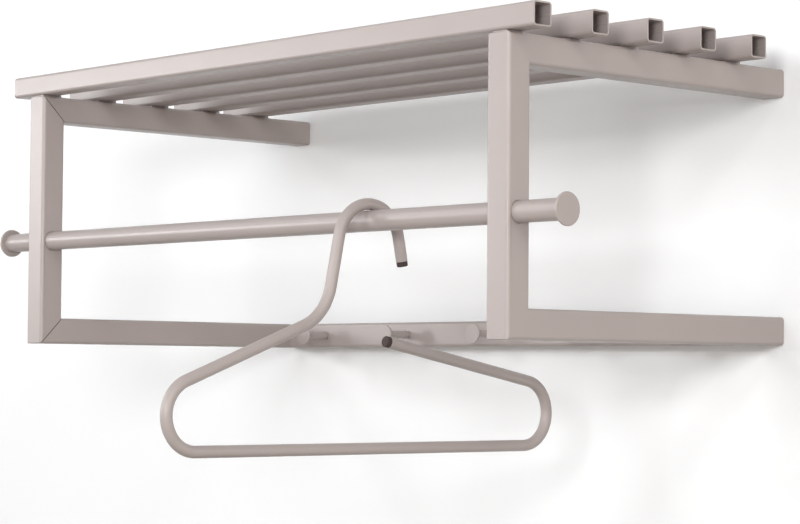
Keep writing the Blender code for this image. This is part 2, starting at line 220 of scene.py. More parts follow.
class RackStudio(PropertyGroup):
    """Camera, lamps and backdrop"""

    camera_place: a_place("Camera place", (1.6675, -1.6780, -0.0404), "Where the camera stands")
    camera_yaw: an_angle("Camera yaw", 47.504, "Turn of the camera to the left")
    camera_pitch: an_angle("Camera pitch", 2.670, "Tilt of the camera upwards")
    camera_roll: an_angle("Camera roll", 0.435, "Roll of the camera about its view")
    camera_lens: an_amount("Camera lens", 108.76, "Focal length in millimetres")
    lamp_target: a_place("Lamp target", (0.0, -0.15, 0.08), "Where the lamps point")
    key_power: a_power("Key lamp", 8.4, "Power of the small low lamp on the left")
    left_power: a_power("Left lamp", 7.2, "Power of the soft lamp far on the left")
    upper_power: a_power("Upper lamp", 4.2, "Power of the small upper lamp on the left")
    front_power: a_power("Front lamp", 19.2, "Power of the wide lamp in front")
    right_power: a_power("Right lamp", 22, "Power of the low lamp on the right")
    side_power: a_power("Side lamp", 4.4, "Power of the small upper lamp on the right")
    fill_power: a_power("Fill lamp", 80, "Power of the large lamp far on the right")
    bounce_power: a_power("Bounce lamp", 7.5, "Power of the low lamp beside the wall on the right")
    warm_light: a_colour("Warm light", (1.0, 0.955, 0.89), "Colour of the fill and the bounce lamp")
    sky: an_amount("Sky", 0.24, "Strength of the light from the white surroundings")
    wall_colour: a_colour("Wall", (0.958, 0.971, 0.985), "Colour of the wall")
    floor_colour: a_colour("Floor", (0.56, 0.527, 0.492), "Colour of the floor")
    backdrop_glow: an_amount("Backdrop glow", 0.05, "White added to the wall and floor where seen")
    wall_gap: a_length("Wall gap", 0.0006, "Gap between the rack's back and the wall")
    floor_height: a_length("Floor height", -0.49, "Height of the floor")
    room: a_length("Room", 8.0, "Width of the floor and the wall")


class RackSettings(PropertyGroup):
    """All settings of the coat rack"""

    tubes: PointerProperty(type=RackTubeSizes, name="Tubes", description="Sizes of the square tubes")
    fittings: PointerProperty(type=RackFittingSizes, name="Fittings", description="Sizes of the fittings")
    hanger: PointerProperty(type=RackHangerSizes, name="Hanger", description="Sizes of the clothes hanger")
    finishes: PointerProperty(type=RackFinishes, name="Finishes", description="Colours and textures")
    studio: PointerProperty(type=RackStudio, name="Studio", description="Camera, lamps and backdrop")


def settings():
    """The rack's settings in the present scene."""
    return bpy.context.scene.coat_rack


# Finishes

def texture_place(tree):
    """Object coordinates, in metres from the rack's origin."""
    return tree.nodes.new("ShaderNodeTexCoord").outputs["Object"]


def noise(tree, place, grain, detail):
    """Cloudy noise whose blotches are about one grain wide."""
    made = tree.nodes.new("ShaderNodeTexNoise")
    made.inputs["Scale"].default_value = 1 / grain
    made.inputs["Detail"].default_value = detail
    tree.links.new(place, made.inputs["Vector"])
    return made.outputs["Fac"]


def remap(tree, value, to_range, from_range=NOISE_SPAN):
    """Stretch a value from one range, by default that of most noise, to another."""
    made = tree.nodes.new("ShaderNodeMapRange")
    made.inputs["From Min"].default_value = from_range[0]
    made.inputs["From Max"].default_value = from_range[1]
    made.inputs["To Min"].default_value = to_range[0]
    made.inputs["To Max"].default_value = to_range[1]
    tree.links.new(value, made.inputs["Value"])
    return made.outputs["Result"]


def plus_share(tree, first, second, share):
    """Add a share of a second value to a first one."""
    made = tree.nodes.new("ShaderNodeMath")
    made.operation = "MULTIPLY_ADD"
    tree.links.new(second, made.inputs[0])
    made.inputs[1].default_value = share
    tree.links.new(first, made.inputs[2])
    return made.outputs[0]


def ramp(tree, value, stops):
    """Colour ramp through (position, colour) stops."""
    made = tree.nodes.new("ShaderNodeValToRGB")
    elements = made.color_ramp.elements
    while len(elements) < len(stops):
        elements.new(0.5)
    for element, (position, tint) in zip(elements, stops):
        element.position = position
        element.color = (*tint, 1)
    tree.links.new(value, made.inputs["Fac"])
    return made.outputs["Color"]


def bump(tree, height, depth):
    """Surface relief of a given depth in metres."""
    made = tree.nodes.new("ShaderNodeBump")
    made.inputs["Distance"].default_value = depth
    tree.links.new(height, made.inputs["Height"])
    return made.outputs["Normal"]


def tinted(colour, factor):
    """A colour made lighter or darker."""
    return [channel * factor for channel in colour]


def new_finish(name):
    """Empty material with its node tree and its shader."""
    made = bpy.data.materials.new(name)
    made.use_nodes = True
    return made, made.node_tree, made.node_tree.nodes["Principled BSDF"]


def make_powder_coat(name):
    """Warm grey powder coat: faint clouds, fine speckle, rims painted lighter as a thinner coat and a
    painted highlight, satin patches and a fine orange-peel relief.
    """
    finishes = settings().finishes
    made, tree, shader = new_finish(name)
    place = texture_place(tree)
    clouds = noise(tree, place, finishes.coat_clouds, detail=3)
    speckle = noise(tree, place, finishes.coat_grain, detail=2)
    tone = plus_share(tree, remap(tree, clouds, to_range=(0.2, 0.6)), speckle, share=0.2)
    # Rounded edges are painted lighter: partly a thinner coat, partly a painted highlight.
    rim = tree.nodes.new("ShaderNodeAttribute")
    rim.attribute_name = "rim"
    tone = plus_share(tree, tone, rim.outputs["Fac"], share=0.3)
    colour = finishes.coat_colour
    stops = [(0.0, tinted(colour, 0.94)), (0.5, colour), (1.0, tinted(colour, 1.06))]
    tree.links.new(ramp(tree, tone, stops), shader.inputs["Base Color"])
    rough = finishes.coat_roughness
    spread = 0.04
    satin = noise(tree, place, 4 * finishes.coat_grain, detail=2)
    patches = remap(tree, satin, to_range=(rough - spread, rough + spread))
    tree.links.new(patches, shader.inputs["Roughness"])
    grit = noise(tree, place, finishes.coat_grain / 3, detail=1)
    relief = plus_share(tree, speckle, grit, share=0.35)
    tree.links.new(bump(tree, relief, finishes.coat_relief), shader.inputs["Normal"])
    return made


def make_tube_inside(name):
    """Inside of an open shelf tube: the coat reaches in a little way and gives out over bare steel, and the
    colour darkens deeper in as painted shade in the tube's hollow.
    """
    finishes = settings().finishes
    made, tree, shader = new_finish(name)
    place = texture_place(tree)
    across = tree.nodes.new("ShaderNodeSeparateXYZ")
    tree.links.new(place, across.inputs["Vector"])
    outward = tree.nodes.new("ShaderNodeMath")
    outward.operation = "ABSOLUTE"
    tree.links.new(across.outputs["X"], outward.inputs[0])
    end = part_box(SHELF_TUBES[0])[1].x
    fading = (end - finishes.coat_reach, end - finishes.coat_full)
    coverage = remap(tree, outward.outputs[0], to_range=(0.1, 0.9), from_range=fading)
    patchy = plus_share(tree, coverage, noise(tree, place, grain=0.004, detail=3), share=0.2)
    # Darker towards the middle of the tube: bare steel where the coat gives out, and painted shade in the
    # hollow.
    stops = [(0.1, finishes.steel_and_shade_colour), (1.0, tinted(finishes.coat_colour, 0.9))]
    tree.links.new(ramp(tree, patchy, stops), shader.inputs["Base Color"])
    grain = noise(tree, place, finishes.coat_grain, detail=2)
    tree.links.new(remap(tree, grain, to_range=(0.45, 0.6)), shader.inputs["Roughness"])
    tree.links.new(bump(tree, grain, finishes.coat_relief), shader.inputs["Normal"])
    return made


def make_dark_plastic(name):
    """Dark brown moulded plastic with a fine matt grain."""
    colour = settings().finishes.plastic_colour
    made, tree, shader = new_finish(name)
    grain = noise(tree, texture_place(tree), grain=0.0005, detail=2)
    shader.inputs["Specular IOR Level"].default_value = 0.3
    stops = [(0.3, tinted(colour, 0.85)), (0.7, tinted(colour, 1.15))]
    tree.links.new(ramp(tree, grain, stops), shader.inputs["Base Color"])
    tree.links.new(remap(tree, grain, to_range=(0.58, 0.72)), shader.inputs["Roughness"])
    tree.links.new(bump(tree, grain, depth=0.00003), shader.inputs["Normal"])
    return made


def make_zinc_plate(name):
    """Dull zinc plating with small crystals."""
    colour = settings().finishes.zinc_colour
    made, tree, shader = new_finish(name)
    place = texture_place(tree)
    crystals = tree.nodes.new("ShaderNodeTexVoronoi")
    crystals.inputs["Scale"].default_value = CRYSTALS_PER_METRE
    tree.links.new(place, crystals.inputs["Vector"])
    stops = [(0.0, tinted(colour, 0.8)), (1.0, tinted(colour, 1.1))]
    tree.links.new(ramp(tree, crystals.outputs["Color"], stops), shader.inputs["Base Color"])
    shader.inputs["Metallic"].default_value = 1
    grain = noise(tree, place, grain=0.0008, detail=3)
    tree.links.new(remap(tree, grain, to_range=(0.32, 0.48)), shader.inputs["Roughness"])
    return made


FINISH_MAKERS = {
    "warm_grey_powder_coat": make_powder_coat,
    "tube_inside": make_tube_inside,
    "dark_moulded_plastic": make_dark_plastic,
    "dull_zinc_plate": make_zinc_plate,
}


def finish_named(name):
    """The finish of that name, made on its first use."""
    return bpy.data.materials.get(name) or FINISH_MAKERS[name](name)


def plate_with_zinc(node):
    """Give a fastener, which keeps the frame's own shape, its zinc finish."""
    frame["nodes"][node].material_slots[0].material = finish_named("dull_zinc_plate")


# Shapes

def place_shape(shape, matrix):
    """Move a whole shape to its place."""
    bmesh.ops.transform(shape, matrix=matrix, verts=shape.verts[:])


def with_edges(faces):
    """Faces and all their edges, as an extrusion needs them to take the old end away."""
    return [*faces, *dict.fromkeys(edge for face in faces for edge in face.edges)]


def extrude(shape, faces, way):
    """Extrude faces along a straight way into a closed body and give back the faces at its new end."""
    lifted = bmesh.ops.extrude_face_region(shape, geom=with_edges(faces))["geom"]
    moved = [item for item in lifted if isinstance(item, bmesh.types.BMVert)]
    bmesh.ops.translate(shape, verts=moved, vec=way)
    return [item for item in lifted if isinstance(item, bmesh.types.BMFace)]


def hollow_out(shape, wall):
    """Leave only a rim of one wall's width of a shape's single flat face."""
    core = shape.faces[:][0]
    bmesh.ops.inset_individual(shape, faces=[core], thickness=wall, use_even_offset=True)
    bmesh.ops.delete(shape, geom=[core], context="FACES_ONLY")


def rounded_square(width, corner):
    """Flat square face with rounded corners, centred on the origin."""
    shape = bmesh.new()
    bmesh.ops.create_grid(shape, x_segments=1, y_segments=1, size=width / 2)
    bmesh.ops.bevel(
        shape,
        geom=shape.verts[:],
        offset=corner,
        segments=settings().tubes.corner_segments,
        profile=0.5,
        affect="VERTICES",
        material=-1,
    )
    return shape


def square_tube(width, corner, run):
    """Hollow square tube with rounded corners, along Z from 0."""
    shape = rounded_square(width, corner)
    hollow_out(shape, settings().tubes.wall)
    extrude(shape, shape.faces[:], (0, 0, run))
    bmesh.ops.recalc_face_normals(shape, faces=shape.faces[:])
    return shape


def turned(profile, segments, closed=False):
    """Round shape from (radius, height) points spun about Z; a closed profile makes a ring."""
    shape = bmesh.new()
    line = [shape.verts.new((radius, 0, height)) for radius, height in profile]
    pairs = list(zip(line, line[1:]))
    if closed:
        pairs.append((line[-1], line[0]))
    edges = [shape.edges.new(pair) for pair in pairs]
    bmesh.ops.spin(
        shape,
        geom=line + edges,
        cent=(0, 0, 0),
        axis=(0, 0, 1),
        angle=2 * math.pi,
        steps=segments,
        use_merge=True,
    )
    bmesh.ops.remove_doubles(shape, verts=shape.verts[:], dist=MERGE_DISTANCE)
    bmesh.ops.recalc_face_normals(shape, faces=shape.faces[:])
    return shape


def cylinder(radius, depth, segments):
    """Closed cylinder about Z, centred on the origin."""
    shape = bmesh.new()
    bmesh.ops.create_cone(
        shape, cap_ends=True, segments=segments, radius1=radius, radius2=radius, depth=depth
    )
    return shape


def sharp_edges(shape):
    """Edges where two faces meet at a clear angle."""
    return [edge for edge in shape.edges if edge.is_manifold and edge.calc_face_angle() > SHARP_ANGLE]


def soften(shape, edges, width, segments=CUT_EDGE_SEGMENTS):
    """Round edges over and mark the new faces as rims, which the powder coat paints lighter: partly a
    thinner coat there, partly a painted highlight on the rounded edges.
    """
    rim = shape.faces.layers.float.get("rim") or shape.faces.layers.float.new("rim")
    made = bmesh.ops.bevel(
        shape, geom=edges, offset=width, segments=segments, profile=0.5, affect="EDGES", material=-1
    )
    # Faces marked here come out lighter in the powder coat, as a thinner coat and as a painted highlight.
    for face in made["faces"]:
        face[rim] = 1


def round_ring(shape, radius, height, width):
    """Round over the ring of edges at one radius and height of a turned shape."""
    def on_ring(vertex):
        return abs(vertex.co.xy.length - radius) < TOUCH and abs(vertex.co.z - height) < TOUCH

    ring = [edge for edge in shape.edges if all(map(on_ring, edge.verts))]
    soften(shape, ring, width, ROUND_EDGE_SEGMENTS)


def one_loop(edges):
    """Those of the given edges that hang together with the first one."""
    pool = set(edges)
    found = {edges[0]}
    waiting = [edges[0]]
    while waiting:
        for vertex in waiting.pop().verts:
            fresh = [edge for edge in vertex.link_edges if edge in pool and edge not in found]
            found.update(fresh)
            waiting.extend(fresh)
    return found


def trim(shape, point, normal):
    """Cut away what lies beyond a plane and close the cut, which has one rim or, across a tube, two."""
    everything = shape.verts[:] + shape.edges[:] + shape.faces[:]
    bmesh.ops.bisect_plane(
        shape, geom=everything, dist=MERGE_DISTANCE, plane_co=point, plane_no=normal, clear_outer=True
    )
    rim = [edge for edge in shape.edges if edge.is_boundary]
    if rim and len(one_loop(rim)) < len(rim):
        bmesh.ops.bridge_loops(shape, edges=rim)
    elif rim:
        bmesh.ops.holes_fill(shape, edges=rim, sides=0)
    bmesh.ops.recalc_face_normals(shape, faces=shape.faces[:])


def bare_object(name, shape):
    """Object with a shape as its mesh, linked into the scene."""
    mesh = bpy.data.meshes.new(name)
    shape.to_mesh(mesh)
    shape.free()
    made = bpy.data.objects.new(name, mesh)
    bpy.context.scene.collection.objects.link(made)
    return made


def cut_out(shape, cutter_shape):
    """Take one shape out of another with an applied Boolean and give back what is left."""
    stock = bare_object("stock", shape)
    cutter = bare_object("cutter", cutter_shape)
    cut = stock.modifiers.new("cut", "BOOLEAN")
    cut.operation = "DIFFERENCE"
    cut.solver = "EXACT"
    cut.object = cutter
    left = bmesh.new()
    left.from_object(stock, bpy.context.evaluated_depsgraph_get())
    for item in (stock, cutter):
        mesh = item.data
        bpy.data.objects.remove(item)
        bpy.data.meshes.remove(mesh)
    return left


def drill(shape, place, radius, reach):
    """Drill a round hole along a placed Z axis and break the edges of its rims."""
    sizes = settings()
    bit = cylinder(radius, 2 * reach, sizes.fittings.round_segments)
    place_shape(bit, place)
    drilled = cut_out(shape, bit)
    from_axis = place.inverted()

    def on_hole(vertex):
        return abs((from_axis @ vertex.co).xy.length - radius) < TOUCH

    rims = [edge for edge in sharp_edges(drilled) if all(map(on_hole, edge.verts))]
    soften(drilled, rims, sizes.tubes.cut_edge / 2)
    return drilled


def finish_piece(name, shape, finish_names, body, nodes):
    """Make a shape the named piece that stands for its nodes and rides on their body."""
    bmesh.ops.recalc_face_normals(shape, faces=shape.faces[:])
    made = bare_object(name, shape)
    made.data.shade_smooth()
    made.data.set_sharp_from_angle(angle=SMOOTH_ANGLE)
    for finish_name in finish_names:
        made.data.materials.append(finish_named(finish_name))
    even = made.modifiers.new("even_shading", "WEIGHTED_NORMAL")
    even.keep_sharp = True
    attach(made, body)
    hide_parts(*nodes)


def coated(node, shape, body="frame"):
    """Finish a shape as the powder-coated piece that stands for a node."""
    finish_piece(f"{node}_coated", shape, ["warm_grey_powder_coat"], body, [node])


# Side frames

def round_weld(shape, corner, upward):
    """Round the outer edge of a mitred corner as its ground weld is."""
    radius = settings().tubes.weld_round
    centre = corner + Vector((0, radius, -upward * radius))
    for cut in range(1, WELD_CUTS + 1):
        lean = cut * math.pi / 2 / (WELD_CUTS + 1)
        way = Vector((0, -math.cos(lean), upward * math.sin(lean)))
        trim(shape, centre + radius * way, way)


def mitre(shape, corner, way, outward, width):
    """Cut a mitre through a corner, leaning so that a line stays open at the inner face."""
    lean = settings().tubes.mitre_line / 2 / width
    normal = Vector(way).normalized() - Vector((outward * lean, 0, 0))
    trim(shape, corner, normal.normalized())


def make_post(side):
    """Front post of one side frame, mitred at both ends and drilled for the rod."""
    sizes = settings()
    outward = OUTWARD[side]
    low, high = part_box(f"post_{side}")
    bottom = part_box(f"bottom_arm_{side}")[0].z
    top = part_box(f"top_arm_{side}")[1].z
    width = high.x - low.x
    centre = (low + high) / 2
    shape = square_tube(width, sizes.tubes.frame_corner, top - bottom)
    place_shape(shape, Matrix.Translation((centre.x, centre.y, bottom)))
    for height, upward in ((top, 1), (bottom, -1)):
        corner = Vector((centre.x + outward * width / 2, low.y, height))
        round_weld(shape, corner, upward)
        mitre(shape, corner, (0, 1, upward), outward, width)
    hole = Matrix.Translation((centre.x, ROD_AXIS.y, ROD_AXIS.z)) @ LIE_ALONG_X
    coated(f"post_{side}", drill(shape, hole, ROD_RADIUS + sizes.fittings.rod_play, width))


def make_arm(level, side):
    """Top or bottom arm of one side frame, from its mitre to its wall plate."""
    outward = OUTWARD[side]
    upward = UPWARD[level]
    low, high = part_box(f"{level}_arm_{side}")
    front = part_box(f"post_{side}")[0].y
    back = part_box(f"{level}_plate_{side}")[0].y
    width = high.x - low.x
    centre = (low + high) / 2
    shape = square_tube(width, settings().tubes.frame_corner, back - front)
    place_shape(shape, Matrix.Translation((centre.x, front, centre.z)) @ LIE_ALONG_Y)
    corner = Vector((centre.x + outward * width / 2, front, centre.z + upward * width / 2))
    round_weld(shape, corner, upward)
    mitre(shape, corner, (0, -1, -upward), outward, width)
    coated(f"{level}_arm_{side}", shape)


class COATRACK_OT_side_frames(Operator):
    """Make the posts and arms of both side frames from mitred square tube"""

    bl_idname = "coat_rack.side_frames"
    bl_label = "Side frames"

    def execute(self, context):
        for side in OUTWARD:
            make_post(side)
            for level in UPWARD:
                make_arm(level, side)
        return {"FINISHED"}


# Wall plates

def cut_keyhole(shape, centre, thickness):
    """Cut a keyhole through a plate: a round entry below and a slot with a round end above it."""
    fittings = settings().fittings
    depth = 4 * thickness
    half_rise = fittings.keyhole_rise / 2
    for diameter, height in ((fittings.keyhole_entry, -half_rise), (fittings.keyhole_slot, half_rise)):
        bit = cylinder(diameter / 2, depth, fittings.round_segments)
        place_shape(bit, Matrix.Translation(centre + Vector((0, 0, height))) @ LIE_ALONG_Y)
        shape = cut_out(shape, bit)
    slot = bmesh.new()
    bmesh.ops.create_cube(slot, size=1)
    bmesh.ops.scale(slot, verts=slot.verts[:], vec=(fittings.keyhole_slot, depth, fittings.keyhole_rise))
    bmesh.ops.translate(slot, verts=slot.verts[:], vec=centre)
    return cut_out(shape, slot)


def make_plate(level, side):
    """Plate that closes an arm at the wall; a top one has a keyhole for a wall screw."""
    low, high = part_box(f"{level}_plate_{side}")
    thickness = high.y - low.y
    centre = (low + high) / 2
    shape = rounded_square(high.x - low.x, settings().tubes.frame_corner)
    extrude(shape, shape.faces[:], (0, 0, thickness))
    place_shape(shape, Matrix.Translation((centre.x, low.y, centre.z)) @ LIE_ALONG_Y)
    bmesh.ops.recalc_face_normals(shape, faces=shape.faces[:])
    if level == "top":
        shape = cut_keyhole(shape, centre, thickness)
    coated(f"{level}_plate_{side}", shape)


class COATRACK_OT_wall_plates(Operator):
    """Make the plates that close the arms at the wall"""

    bl_idname = "coat_rack.wall_plates"
    bl_label = "Wall plates"

    def execute(self, context):
        for side in OUTWARD:
            for level in UPWARD:
                make_plate(level, side)
        return {"FINISHED"}


# Shelf

def add_seam(shape, wall_face, run):
    """Add the weld seam along the inside of a tube's rear wall."""
    tubes = settings().tubes
    drawn = bmesh.ops.create_circle(shape, cap_ends=True, segments=tubes.seam_segments, radius=1)
    seam = drawn["verts"]
    end = seam[0].link_faces[0]
    end.material_index = 1
    bmesh.ops.scale(shape, verts=seam, vec=(tubes.seam_width / 2, tubes.seam_height, 1))
    bmesh.ops.translate(shape, verts=seam, vec=(0, wall_face, tubes.cut_edge))
    extrude(shape, [end], (0, 0, run - 2 * tubes.cut_edge))


def make_shelf_tube(node):
    """Open square tube of the shelf, its sawn ends broken and a weld seam along its inside."""
    tubes = settings().tubes
    low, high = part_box(node)
    width = high.z - low.z
    run = high.x - low.x
    bore = width / 2 - tubes.wall
    shape = square_tube(width, tubes.shelf_corner, run)
    for face in shape.faces:
        middle = face.calc_center_median()
        inside = max(abs(middle.x), abs(middle.y)) < bore + TOUCH and TOUCH < middle.z < run - TOUCH
        face.material_index = int(inside)
    soften(shape, sharp_edges(shape), tubes.cut_edge)
    add_seam(shape, bore, run)
    centre = (low + high) / 2
    place_shape(shape, Matrix.Translation((low.x, centre.y, centre.z)) @ LIE_ALONG_X)
    finish_piece(f"{node}_coated", shape, ["warm_grey_powder_coat", "tube_inside"], "frame", [node])


class COATRACK_OT_shelf_tubes(Operator):
    """Make the square tubes of the hat shelf"""

    bl_idname = "coat_rack.shelf_tubes"
    bl_label = "Shelf tubes"

    def execute(self, context):
        for node in SHELF_TUBES:
            make_shelf_tube(node)
        return {"FINISHED"}


def make_shelf_pad(tube_node, number, side):
    """Foot under a shelf tube on an arm, with the weld bead against the tube's rear face."""
    node = f"shelf_pad_{number}_{side}"
    low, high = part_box(node)
    tube_low, tube_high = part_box(tube_node)
    seat = Vector(((low.x + high.x) / 2, tube_high.y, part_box(f"top_arm_{side}")[1].z))
    width = high.x - low.x
    bead = high.z - seat.z
    bead_rounding = bead / 3
    shape = cylinder(bead, width, settings().fittings.round_segments)
    soften(shape, sharp_edges(shape), bead_rounding, ROUND_EDGE_SEGMENTS)
    place_shape(shape, Matrix.Translation(seat) @ LIE_ALONG_X)
    inside_wall = Vector((0, -settings().tubes.wall, 0))
    trim(shape, seat, Vector((0, 0, -1)))
    trim(shape, seat + inside_wall, Vector((0, -1, 0)))
    front = Vector((seat.x, low.y, seat.z))
    thickness = tube_low.z - seat.z
    foot_rounding = thickness / 3
    back = seat + inside_wall + Vector((0, 0, thickness))
    foot = bmesh.ops.create_cube(shape, size=1)["verts"]
    bmesh.ops.scale(shape, verts=foot, vec=(width, back.y - front.y, thickness))
    bmesh.ops.translate(shape, verts=foot, vec=(front + back) / 2)
    soften(shape, [edge for edge in sharp_edges(shape) if edge.verts[0] in foot], foot_rounding)
    coated(node, shape)


class COATRACK_OT_shelf_pads(Operator):
    """Make the pads between the shelf tubes and the arms, with their weld beads"""

    bl_idname = "coat_rack.shelf_pads"
    bl_label = "Shelf pads"

    def execute(self, context):
        for number, tube_node in enumerate(SHELF_TUBES, start=1):
            for side in OUTWARD:
                make_shelf_pad(tube_node, number, side)
        return {"FINISHED"}


# Peg rail

class COATRACK_OT_rear_rail(Operator):
    """Make the rear rail between the bottom arms, drilled for the pegs' nuts"""

    bl_idname = "coat_rack.rear_rail"
    bl_label = "Rear rail"

    def execute(self, context):
        sizes = settings()
        low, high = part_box("rear_rail")
        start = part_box("bottom_arm_left")[1].x
        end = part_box("bottom_arm_right")[0].x
        width = high.y - low.y
        centre = (low + high) / 2
        shape = square_tube(width, sizes.tubes.frame_corner, end - start)
        place_shape(shape, Matrix.Translation((start, centre.y, centre.z)) @ LIE_ALONG_X)
        for node in PEGS:
            peg_low, peg_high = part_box(node)
            hole = Matrix.Translation(((peg_low.x + peg_high.x) / 2, low.y, centre.z)) @ FACE_FRONT
            shape = drill(shape, hole, sizes.fittings.nut_hole / 2, width / 2)
        coated("rear_rail", shape)
        return {"FINISHED"}


def make_peg(node):
    """Peg turned from its threaded tail to its flat head, with a fillet under the head."""
    fittings = settings().fittings
    low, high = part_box(node)
    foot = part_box("rear_rail")[0].y
    reach = foot - low.y
    tail_end = foot - high.y
    head = (high.x - low.x) / 2
    stem = fittings.peg_stem / 2
    tail = fittings.peg_tail / 2
    head_base = reach - fittings.peg_head
    profile = [
        (0, tail_end),
        (tail, tail_end),
        (tail, 0),
        (stem, 0),
        (stem, head_base),
        (head, head_base),
        (head, reach),
        (0, reach),
    ]
    shape = turned(profile, fittings.round_segments)
    round_ring(shape, stem, head_base, fittings.peg_fillet)
    round_ring(shape, head, head_base, fittings.peg_edge)
    round_ring(shape, head, reach, fittings.peg_edge)
    centre = (low + high) / 2
    place_shape(shape, Matrix.Translation((centre.x, foot, centre.z)) @ FACE_FRONT)
    coated(node, shape)


class COATRACK_OT_pegs(Operator):
    """Make the pegs and give their nuts a zinc finish"""

    bl_idname = "coat_rack.pegs"
    bl_label = "Pegs"

    def execute(self, context):
        for node in PEGS:
            make_peg(node)
            plate_with_zinc(node.replace("peg", "peg_nut"))
        return {"FINISHED"}


# Hanging rod

def make_knob(side):
    """Flat disc that closes an end of the rod, with its threaded tail."""
    fittings = settings().fittings
    outward = OUTWARD[side]
    low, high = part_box(f"knob_{side}")
    radius = (high.z - low.z) / 2
    tail = fittings.knob_tail / 2
    run = high.x - low.x
    base = run - fittings.knob_thickness
    profile = [(0, 0), (tail, 0), (tail, base), (radius, base), (radius, run), (0, run)]
    shape = turned(profile, fittings.round_segments)
    round_ring(shape, radius, base, fittings.knob_edge)
    round_ring(shape, radius, run, fittings.knob_edge)
    start = low.x if outward > 0 else high.x
    turn = Matrix.Rotation(outward * math.pi / 2, 4, "Y")
    place_shape(shape, Matrix.Translation((start, ROD_AXIS.y, ROD_AXIS.z)) @ turn)
    coated(f"knob_{side}", shape, "rod")


class COATRACK_OT_hanging_rod(Operator):
    """Make the hanging rod and its knobs and give the rod's inserts a zinc finish"""

    bl_idname = "coat_rack.hanging_rod"
    bl_label = "Hanging rod"

    def execute(self, context):
        fittings = settings().fittings
        half = (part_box("knob_right")[1].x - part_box("knob_left")[0].x) / 2 - fittings.knob_thickness
        bore = ROD_RADIUS - fittings.rod_wall
        profile = [(ROD_RADIUS, -half), (ROD_RADIUS, half), (bore, half), (bore, -half)]
        shape = turned(profile, fittings.round_segments, closed=True)
        place_shape(shape, Matrix.Translation(ROD_AXIS) @ LIE_ALONG_X)
        coated("hang_rod", shape, "rod")
        for side in OUTWARD:
            make_knob(side)
            plate_with_zinc(f"rod_insert_{side}")
        return {"FINISHED"}


# Hanger

def crossing(first, first_way, second, second_way):
    """Point where two lines of the hanger's plane cross."""
    run = (second - first).cross(second_way) / first_way.cross(second_way)
    return first + first_way * run


def hanger_corners():
    """Corners of the hanger's path as (back, up) from the rod's axis, from hook tip to shoulder end."""
    sizes = settings().hanger
    lean = Vector((math.sin(sizes.hook_splay), -math.cos(sizes.hook_splay)))
    hook_centre = ROD_RADIUS + sizes.fit + sizes.tube / 2 - sizes.hook_radius
    apex = Vector((0, hook_centre + sizes.hook_radius / lean.x))
    tip = apex - lean * (apex.y + sizes.tip_drop) / lean.y
    front_run = sizes.end_radius / math.tan(sizes.front_slope / 2)
    rear_run = sizes.end_radius / math.tan(sizes.rear_slope / 2)
    front_end = Vector((sizes.end_radius - sizes.front_reach - front_run, -sizes.drop))
    rear_end = Vector((sizes.rear_reach - sizes.end_radius + rear_run, -sizes.drop))
    shoulder = Vector((math.cos(sizes.front_slope), math.sin(sizes.front_slope)))
    neck = crossing(apex, Vector((-lean.x, lean.y)), front_end, shoulder)
    rise = (rear_end.x - sizes.shoulder_end) * math.tan(sizes.rear_slope)
    free_end = Vector((sizes.shoulder_end, rise - sizes.drop))
    return [tip, apex, neck, front_end, rear_end, free_end]


def in_hanger_plane(point):
    """Place in the rack of a point of the hanger's plane."""
    return Vector((HANGER_X, ROD_AXIS.y + point.x, ROD_AXIS.z + point.y))


def facing(place, way):
    """Matrix that stands a shape's Z axis along a way at a place."""
    return Matrix.Translation(place) @ way.to_track_quat("Z", "X").to_matrix().to_4x4()


def bend_on(shape, faces, centre, turn):
    """Draw the faces at a tube's end round a bend about a centre and give back the faces at the new end."""
    steps = math.ceil(abs(turn) / settings().hanger.bend_step)
    drawn = bmesh.ops.spin(
        shape, geom=with_edges(faces), cent=centre, axis=(1, 0, 0), angle=turn, steps=steps
    )["geom_last"]
    return [item for item in drawn if isinstance(item, bmesh.types.BMFace)]


def bent_tube(corners, radii):
    """Hollow round tube along straight runs whose corners are bent to the given radii."""
    sizes = settings().hanger
    shape = bmesh.new()
    bmesh.ops.create_circle(shape, cap_ends=True, segments=sizes.sides, radius=sizes.tube / 2)
    hollow_out(shape, sizes.wall)
    here = in_hanger_plane(corners[0])
    place_shape(shape, facing(here, in_hanger_plane(corners[1]) - here))
    end = shape.faces[:]
    for before, corner, after, radius in zip(corners, corners[1:], corners[2:], radii):
        arriving = (corner - before).normalized()
        turn = -arriving.angle_signed(after - corner)
        bend_start = corner - arriving * radius * math.tan(abs(turn) / 2)
        end = extrude(shape, end, in_hanger_plane(bend_start) - here)
        to_left = Vector((-arriving.y, arriving.x)) * math.copysign(radius, turn)
        centre = in_hanger_plane(bend_start + to_left)
        end = bend_on(shape, end, centre, turn)
        here = centre + Matrix.Rotation(turn, 3, "X") @ (in_hanger_plane(bend_start) - centre)
    extrude(shape, end, in_hanger_plane(corners[-1]) - here)
    bmesh.ops.recalc_face_normals(shape, faces=shape.faces[:])
    soften(shape, sharp_edges(shape), sizes.cut_edge)
    return shape


class COATRACK_OT_hanger(Operator):
    """Make the clothes hanger from one bent tube"""

    bl_idname = "coat_rack.hanger"
    bl_label = "Clothes hanger"

    def execute(self, context):
        sizes = settings().hanger
        radii = [sizes.hook_radius, sizes.neck_radius, sizes.end_radius, sizes.end_radius]
        coated("hanger", bent_tube(hanger_corners(), radii), "hanger")
        return {"FINISHED"}


def make_plug(node, end, neighbour):
    """End plug of the hanger's tube, with its rounded cap outside and its tail inside."""
    sizes = settings().hanger
    cap = sizes.plug_diameter / 2
    tail = sizes.tube / 2 - sizes.wall - sizes.fit
    profile = [
        (0, -sizes.plug_tail),
        (tail, -sizes.plug_tail),
        (tail, 0),
        (cap, 0),
        (cap, sizes.plug_length),
        (0, sizes.plug_length),
    ]
    shape = turned(profile, sizes.sides)
    round_ring(shape, cap, sizes.plug_length, sizes.plug_edge)
    place = in_hanger_plane(end)
    place_shape(shape, facing(place, place - in_hanger_plane(neighbour)))
    finish_piece(f"{node}_moulded", shape, ["dark_moulded_plastic"], "hanger", [node])


